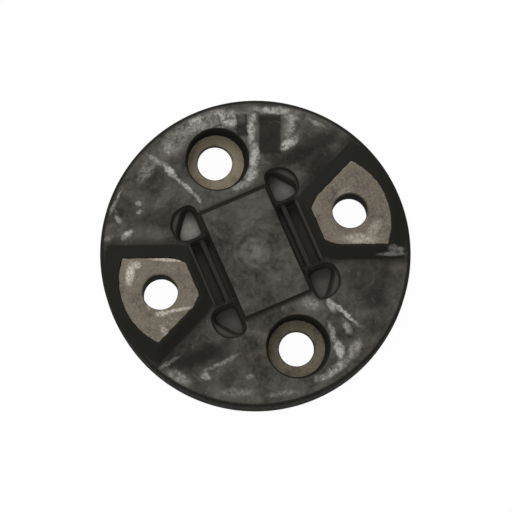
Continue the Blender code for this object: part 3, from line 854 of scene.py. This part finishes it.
class RubberNodes(Nodes):
    """The places and noises that the layers of the rubber share, and the layers, each a share from
    nought to one."""

    def __init__(self, name):
        super().__init__(name)
        x, y, z = self.split(self.place)
        front = self.math("GREATER_THAN", z, 0.0)
        self.height = self.math("ABSOLUTE", z)
        self.along = self.math("ABSOLUTE", self.blend(front, y, x))
        self.beside = self.math("ABSOLUTE", self.blend(front, x, y))
        self.level = self.ramp(self.math("ABSOLUTE", self.split(self.normal)[2]), 0.95, 0.99)
        squares = self.math("ADD", self.math("MULTIPLY", x, x), self.math("MULTIPLY", y, y))
        self.radius = self.math("SQRT", squares)
        self.on_face = self.all_of(
            self.ramp(self.height, FACE_Z - 0.5 * MM, FACE_Z - 0.2 * MM),
            self.ramp(self.height, FACE_Z + 0.8 * MM, FACE_Z + 0.5 * MM),
            self.ramp(self.radius, DISC_RADIUS - 0.6 * MM, DISC_RADIUS - 1.3 * MM),
        )
        self.in_hollow = self.ramp(self.height, FACE_Z - 0.3 * MM, FACE_Z - 0.6 * MM)
        self.cloud = self.noise(8 * MM, 5.0, 0.62, 0.6)
        self.smear = self.noise(3.2 * MM, 5.0, 0.65, 1.2)
        self.grain = self.noise(0.8 * MM, 4.0, 0.7)
        self.blotch = self.noise(1.3 * MM, 5.0, 0.75, 0.4)
        self.plan = self.picture_plan(1.9 * MM)
        self.crisp_plan = self.picture_plan(0.9 * MM)
        self.unwiped = self.rest_of(self.marks(self.crisp_plan, WIPED_PATCHES, squared=True))

    def patchy(self):
        """The uneven strength of the bloom."""
        clouds = self.ramp(self.cloud, 0.34, 0.66, 0.0, 0.5)
        smears = self.ramp(self.smear, 0.3, 0.72, 0.12, 0.5)
        grains = self.ramp(self.grain, 0.3, 0.7, -0.1, 0.12)
        return self.math("ADD", self.math("ADD", clouds, smears), grains)

    def shaded_land_among_hollows(self):
        """The land between the block, the trenches and the pockets, left without bloom as painted shade."""
        return self.all_of(
            self.ramp(self.beside, BLOCK_HALF[0], GROOVE_HALF[0] + 0.2 * MM),
            self.ramp(self.beside, *SHADED_LAND_BESIDE),
            self.ramp(self.along, *SHADED_LAND_ALONG),
        )

    def outside_boss_shade(self):
        """Full away from the bosses, and a third at the foot of their sides: painted shade that cuts the
        bloom there.
        """
        side_foot = PLATE_SHOULDER[1] * math.cos(PLATE_SIDE_ANGLE) + BOSS_TOP_GROW + BOSS_SIDE_RUN
        side_foot -= PLATE_SHOULDER[0] * math.sin(PLATE_SIDE_ANGLE)
        from_foot = self.math("MULTIPLY", self.beside, -math.sin(PLATE_SIDE_ANGLE))
        from_foot = self.math("MULTIPLY_ADD", self.along, math.cos(PLATE_SIDE_ANGLE), from_foot)
        share = self.ramp(from_foot, side_foot, side_foot + BOSS_SHADE, 0.35, 1.0)
        return self.math("MAXIMUM", share, self.ramp(self.beside, *BOSS_START))

    def between_pockets(self):
        return self.ramp(self.beside, GROOVE_HALF[0] + 0.2 * MM, GROOVE_HALF[0] - 0.4 * MM)

    def end_shade(self):
        """Painted shade: the soft dark band outside the groove at the block's ends."""
        return self.all_of(
            self.between_pockets(),
            self.ramp(self.along, GROOVE_HALF[1], GROOVE_HALF[1] + 0.2 * MM),
            self.ramp(self.along, GROOVE_HALF[1] + 1.2 * MM, GROOVE_HALF[1] + 0.3 * MM, 0.0, 0.72),
        )

    def groove_painted_light(self):
        """Painted light: grey in the groove at the block's ends, lifting the shade in it."""
        return self.all_of(
            self.between_pockets(),
            self.ramp(self.along, GROOVE_HALF[1] - 0.4 * MM, GROOVE_HALF[1] - 0.2 * MM),
            self.ramp(self.along, GROOVE_HALF[1] + 0.4 * MM, GROOVE_HALF[1] + 0.2 * MM, 0.0, 0.24),
            self.ramp(self.height, FACE_Z, FACE_Z - 0.15 * MM),
        )

    def block_rings(self):
        """Faint rings round the middle of the block, and a paler spot inside them."""
        wave = self.math("MULTIPLY", self.radius, RING_WAVE)
        rings = self.all_of(
            self.math("SINE", self.math("MULTIPLY_ADD", self.smear, 1.4, wave)),
            self.ramp(self.radius, *RINGS_INNER),
            self.ramp(self.radius, *RINGS_OUTER, 0.0, 0.07),
        )
        spot = self.ramp(self.radius, *BLOCK_SPOT, 0.0, 0.24)
        spot = self.math("MULTIPLY", spot, self.ramp(self.smear, 0.3, 0.6))
        return self.math("ADD", rings, spot)

    def trench_film_and_light(self):
        """Grey film in the trenches, strongest deep in the slot beside the block, where the extra is painted
        light that lifts the shade.
        """
        deep = self.ramp(self.height, FACE_Z - RIB_DROP - 0.2 * MM, FACE_Z - RIB_DROP - 0.8 * MM)
        in_slot = self.ramp(self.beside, RIB_X + 0.4 * MM, RIB_X - 0.4 * MM, 0.12, 0.45)
        return self.all_of(
            self.in_hollow,
            self.ramp(self.beside, BLOCK_HALF[0], GROOVE_HALF[0]),
            self.ramp(self.beside, TRENCH_X[1] + 0.3 * MM, TRENCH_X[1]),
            self.ramp(self.along, TRENCH_HALF_LENGTH + 0.4 * MM, TRENCH_HALF_LENGTH),
            self.math("MULTIPLY_ADD", deep, in_slot, 0.16),
        )

    def painted_land_highlight(self):
        """Painted highlight on the edge between a trench and the boss beside it."""
        return self.all_of(
            self.ramp(self.beside, TRENCH_X[1] - 0.25 * MM, TRENCH_X[1] + 0.1 * MM),
            self.ramp(self.beside, TRENCH_X[1] + 0.7 * MM, TRENCH_X[1] + 0.3 * MM, 0.0, 0.34),
            self.ramp(self.along, TRENCH_HALF_LENGTH + 0.2 * MM, TRENCH_HALF_LENGTH - 1.2 * MM),
            self.ramp(self.height, FACE_Z - 0.4 * MM, FACE_Z - 0.1 * MM),
        )

    def pocket_film(self):
        """Grey film in the corner pockets, stronger on their floors than on their walls."""
        return self.all_of(
            self.in_hollow,
            self.ramp(self.beside, POCKET_SIDES[0] - 0.3 * MM, POCKET_SIDES[0]),
            self.ramp(self.beside, *POCKET_OUTER_X),
            self.ramp(self.along, TRENCH_HALF_LENGTH, POCKET_SIDES[1]),
            self.ramp(self.radius, *POCKET_OUTER_RADIUS),
            self.math("MULTIPLY_ADD", self.level, 0.32, 0.24),
        )

    def wall_film(self):
        """Patchy grey film on the disc's outer wall."""
        smears = self.ramp(self.smear, 0.36, 0.68, 0.0, 0.13)
        blotches = self.ramp(self.blotch, 0.5, 0.7, 0.0, 0.12)
        on_wall = self.ramp(self.radius, DISC_RADIUS - 0.7 * MM, DISC_RADIUS - 0.4 * MM)
        return self.all_of(on_wall, self.math("ADD", smears, blotches))

    def bloom(self):
        """The grey bloom on the flat faces, less the painted shade, and the films, some of them painted
        light.
        """
        bloom = self.all_of(
            self.level,
            self.on_face,
            self.patchy(),
            self.outside_boss_shade(),
            self.rest_of(self.marks(self.plan, DARK_MARKS_AND_SHADE, edge=0.3)),
            self.unwiped,
            self.rest_of(self.shaded_land_among_hollows()),
            self.rest_of(self.end_shade()),
        )
        bloom = self.math("ADD", bloom, self.all_of(self.on_face, self.block_rings()))
        # The films hold painted light in the groove, deep in the trench slots and on the land by the bosses
        film = self.strongest(self.trench_film_and_light(), self.pocket_film(), self.painted_land_highlight())
        film = self.strongest(film, self.wall_film(), self.groove_painted_light())
        return self.math("ADD", bloom, film, clamp=True)

    def streaks(self):
        """The pale marks, broken up by the blotches and the grain."""
        broken = self.ramp(self.blotch, 0.38, 0.57, 0.28, 1.2)
        broken = self.math("MULTIPLY", broken, self.ramp(self.grain, 0.36, 0.6, 0.55, 1.05))
        return self.all_of(self.marks(self.plan, PALE_MARKS), self.level, self.on_face, broken, self.unwiped)

    def slope_dust(self):
        share = self.marks(self.crisp_plan, SLOPE_DUST, edge=0.5)
        return self.math("MULTIPLY", share, self.ramp(self.blotch, 0.36, 0.6, 0.3, 1.0))

    def floor_dust(self):
        """Dust on the floors of the pockets."""
        floors = [(x, y, size, size, 0, strength) for x, y, size, strength in POCKET_DUST]
        return self.all_of(
            self.marks(self.crisp_plan, floors, edge=0.1),
            self.level,
            self.ramp(self.height, FACE_Z - POCKET_DEPTH + 0.8 * MM, FACE_Z - POCKET_DEPTH + 0.3 * MM),
            self.ramp(self.blotch, 0.3, 0.65, 0.7, 1.15),
        )

    def block_dust(self):
        """The palest spot, in the very middle of the block."""
        inner = self.ramp(self.radius, 2.3 * MM, 0.8 * MM, 0.0, 0.09)
        outer = self.ramp(self.radius, 3.9 * MM, 3.1 * MM, 0.0, 0.045)
        uneven = self.ramp(self.smear, 0.25, 0.6, 0.5, 1.2)
        return self.all_of(self.math("ADD", inner, outer), self.on_face, uneven)

    def specks(self):
        return self.all_of(self.ramp(self.blotch, 0.58, 0.76, 0.0, 0.22), self.level, self.on_face)

    def dust(self):
        """The pale dust of all kinds."""
        lying = self.strongest(self.slope_dust(), self.floor_dust(), self.block_dust())
        return self.strongest(self.streaks(), lying, self.specks())


def rubber_material(settings):
    """Black rubber: dark and satin on slopes, walls and in hollows, with a cloudy grey bloom on the flat
    faces, streaks of pale dust, dark wiped patches and faint rings on the block. Painted shade takes bloom
    away beside the bosses, among the hollows and at the block's ends, and painted light lifts the groove,
    the trench slots and the land beside the bosses."""
    n = RubberNodes("moulded_rubber")
    colour = n.mix(n.bloom(), settings.clean, settings.bloom)
    colour = n.mix(n.dust(), colour, settings.dust)
    n.join(colour, n.shader.inputs["Base Color"])
    n.shader.inputs["Specular IOR Level"].default_value = 0.01
    n.join(n.ramp(n.grain, 0.3, 0.7, 0.6, 0.8), n.shader.inputs["Roughness"])
    rough = n.bump(n.noise(0.45 * MM), 0.03 * MM, 0.5)
    n.join(n.bump(n.smear, 0.2 * MM, 0.35, rough), n.shader.inputs["Normal"])
    return n.material


def steel_material(settings):
    """Dull plated steel: brown grey with darker stains, an olive film on the sunk rings, and
    bright scuffs on the pads."""
    n = Nodes("worn_steel")
    z = n.split(n.place)[2]
    cloud = n.noise(3.5 * MM, 4.0, 0.65)
    grain = n.noise(0.55 * MM, 4.0, 0.75)
    sunk = n.ramp(n.math("ABSOLUTE", z), *SUNK_STEEL)
    colour = n.mix(sunk, settings.metal, settings.stain)
    stained = n.math("ADD", n.ramp(cloud, 0.42, 0.75, 0.0, 0.4), n.ramp(grain, 0.55, 0.3, 0.0, 0.35))
    plan = n.picture_plan(0.8 * MM)
    stained = n.math("ADD", stained, n.marks(plan, DARK_FILM, edge=0.8))
    colour = n.mix(stained, colour, settings.bore)
    rubbed = n.marks(plan, SCUFFS)
    rubbed = n.math("MULTIPLY", rubbed, n.ramp(grain, 0.36, 0.6, 0.25, 1.05))
    specks = n.math("MULTIPLY", n.ramp(grain, 0.56, 0.74, 0.0, 0.4), n.rest_of(sunk))
    colour = n.mix(n.math("MAXIMUM", rubbed, specks), colour, settings.scuff)
    n.join(colour, n.shader.inputs["Base Color"])
    n.shader.inputs["Metallic"].default_value = 0.6
    n.join(n.ramp(grain, 0.3, 0.7, 0.46, 0.62), n.shader.inputs["Roughness"])
    n.join(n.bump(grain, 0.05 * MM, 0.45), n.shader.inputs["Normal"])
    return n.material


def bore_shade_material(settings):
    """The walls of the bolt holes: dull and almost black, painted shade for their unlit depth, with a little
    brown grime.
    """
    n = Nodes("bore_painted_shade")
    grime = n.noise(1.2 * MM, 4.0, 0.65)
    colour = n.mix(n.ramp(grime, 0.45, 0.8, 0.0, 0.12), settings.bore, settings.stain)
    n.join(colour, n.shader.inputs["Base Color"])
    n.shader.inputs["Specular IOR Level"].default_value = 0.05
    n.shader.inputs["Roughness"].default_value = 0.85
    n.join(n.bump(grime, 0.05 * MM, 0.4), n.shader.inputs["Normal"])
    return n.material


class COUPLING_OT_rubber_disc(Operator):
    """Wrap the moulded rubber disc and give it its finish"""

    bl_idname = "coupling.rubber_disc"
    bl_label = "Rubber disc"

    def execute(self, context):
        settings = context.scene.coupling_rubber
        disc = linked("moulded_disc", rubber_mesh(settings.step, settings.edge_round))
        disc.data.materials.append(rubber_material(settings))
        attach(disc, "root")
        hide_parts("rubber_disc")
        return {"FINISHED"}


class COUPLING_OT_inserts(Operator):
    """Make the four steel inserts from their loops"""

    bl_idname = "coupling.inserts"
    bl_label = "Steel inserts"

    def execute(self, context):
        settings = context.scene.coupling_steel
        steel = steel_material(settings)
        # The walls of the bolt holes get the almost black material, painted shade
        bore = bore_shade_material(settings)
        places = (
            ("right_front", "front_insert_right", False, Matrix()),
            ("left_front", "front_insert_left", False, HALF_TURN),
            ("upper_rear", "rear_insert_upper", True, TURN_OVER),
            ("lower_rear", "rear_insert_lower", True, HALF_TURN @ TURN_OVER),
        )
        for name, node, stepped, turn in places:
            mesh = insert_mesh(settings.edge_break, stepped)
            mesh.transform(turn)
            insert = linked("steel_" + name, mesh)
            insert.data.materials.append(steel)
            insert.data.materials.append(bore)
            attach(insert, "root")
            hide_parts(node)
        return {"FINISHED"}


def camera_place(settings):
    """Camera matrix: back from the axis by the tilt, with the bolt line turned in the picture."""
    up = Vector((math.sin(settings.roll), math.cos(settings.roll), 0.0))
    back = Vector((0.0, 0.0, 1.0)) * math.cos(settings.tilt) - up * math.sin(settings.tilt)
    right = up.cross(back).normalized()
    top = back.cross(right)
    turn = Matrix((right, top, back)).transposed().to_4x4()
    return Matrix.Translation(back * settings.distance + right * CAMERA_ASIDE) @ turn


class COUPLING_OT_stage(Operator):
    """Set the floor, the soft light and the camera"""

    bl_idname = "coupling.stage"
    bl_label = "Stage"

    def execute(self, context):
        settings = context.scene.coupling_stage
        scene = context.scene
        camera = bpy.data.objects.new("camera", bpy.data.cameras.new("camera"))
        camera.data.lens = settings.lens
        camera.data.clip_start = 0.01
        camera.matrix_world = camera_place(settings)
        scene.collection.objects.link(camera)
        scene.camera = camera
        add_floor(settings)
        add_lights(scene)
        scene.view_settings.view_transform = "Standard"
        return {"FINISHED"}


def add_floor(settings):
    """A plain floor under the rear pads, which glows to the eye but lights the part as if matte."""
    signs = ((-1, -1), (1, -1), (1, 1), (-1, 1))
    corners = np.array([(a * FLOOR_HALF, b * FLOOR_HALF, -PAD_Z) for a, b in signs])
    floor = linked("floor", mesh_from("floor", corners, np.array([(0, 1, 2, 3)])))
    n = Nodes("plain_floor")
    n.shader.inputs["Base Color"].default_value = (*settings.floor, 1.0)
    n.shader.inputs["Roughness"].default_value = 0.9
    glow = n.add("ShaderNodeEmission")
    rays = n.add("ShaderNodeLightPath").outputs
    seen = n.strongest(rays["Is Camera Ray"], rays["Is Glossy Ray"], rays["Is Transmission Ray"])
    blend = n.add("ShaderNodeMixShader")
    n.join(n.math("MULTIPLY", seen, FLOOR_GLOW), blend.inputs[0])
    n.join(n.shader.outputs[0], blend.inputs[1])
    n.join(glow.outputs[0], blend.inputs[2])
    n.join(blend.outputs[0], n.tree.nodes["Material Output"].inputs["Surface"])
    floor.data.materials.append(n.material)


def add_lights(scene):
    world = bpy.data.worlds.new("studio")
    world.use_nodes = True
    sky = world.node_tree.nodes["Background"]
    sky.inputs["Color"].default_value = (1.0, 1.0, 1.0, 1.0)
    sky.inputs["Strength"].default_value = SKY_STRENGTH
    scene.world = world
    for name, place, size, power in LAMPS:
        light = bpy.data.lights.new(name, "AREA")
        light.shape = "SQUARE"
        light.size = size
        light.energy = power
        lamp = bpy.data.objects.new(name, light)
        lamp.location = place
        lamp.rotation_euler = (-Vector(place)).to_track_quat("-Z", "Y").to_euler()
        scene.collection.objects.link(lamp)


class COUPLING_PT_sidebar(Panel):
    """Steps of the coupling in the 3D view's sidebar"""

    bl_idname = "COUPLING_PT_sidebar"
    bl_label = "Steering flex coupling"
    bl_space_type = "VIEW_3D"
    bl_region_type = "UI"
    bl_category = "Coupling"

    def draw(self, context):
        for operator in OPERATORS:
            self.layout.operator(operator.bl_idname)
        for name in SETTINGS:
            group = getattr(context.scene, name)
            for key in group.bl_rna.properties.keys():
                if key not in ("rna_type", "name"):
                    self.layout.prop(group, key)


SETTINGS = {
    "coupling_rubber": RubberSettings,
    "coupling_steel": SteelSettings,
    "coupling_stage": StageSettings,
}
OPERATORS = (COUPLING_OT_rubber_disc, COUPLING_OT_inserts, COUPLING_OT_stage)


def register():
    for kind in (*SETTINGS.values(), *OPERATORS, COUPLING_PT_sidebar):
        bpy.utils.register_class(kind)
    for name, kind in SETTINGS.items():
        setattr(bpy.types.Scene, name, PointerProperty(type=kind))


def unregister():
    for name in SETTINGS:
        delattr(bpy.types.Scene, name)
    for kind in (COUPLING_PT_sidebar, *OPERATORS, *SETTINGS.values()):
        bpy.utils.unregister_class(kind)


def main():
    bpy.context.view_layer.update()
    register()
    bpy.ops.coupling.rubber_disc()
    bpy.ops.coupling.inserts()
    bpy.ops.coupling.stage()


if __name__ == "__main__":
    main()
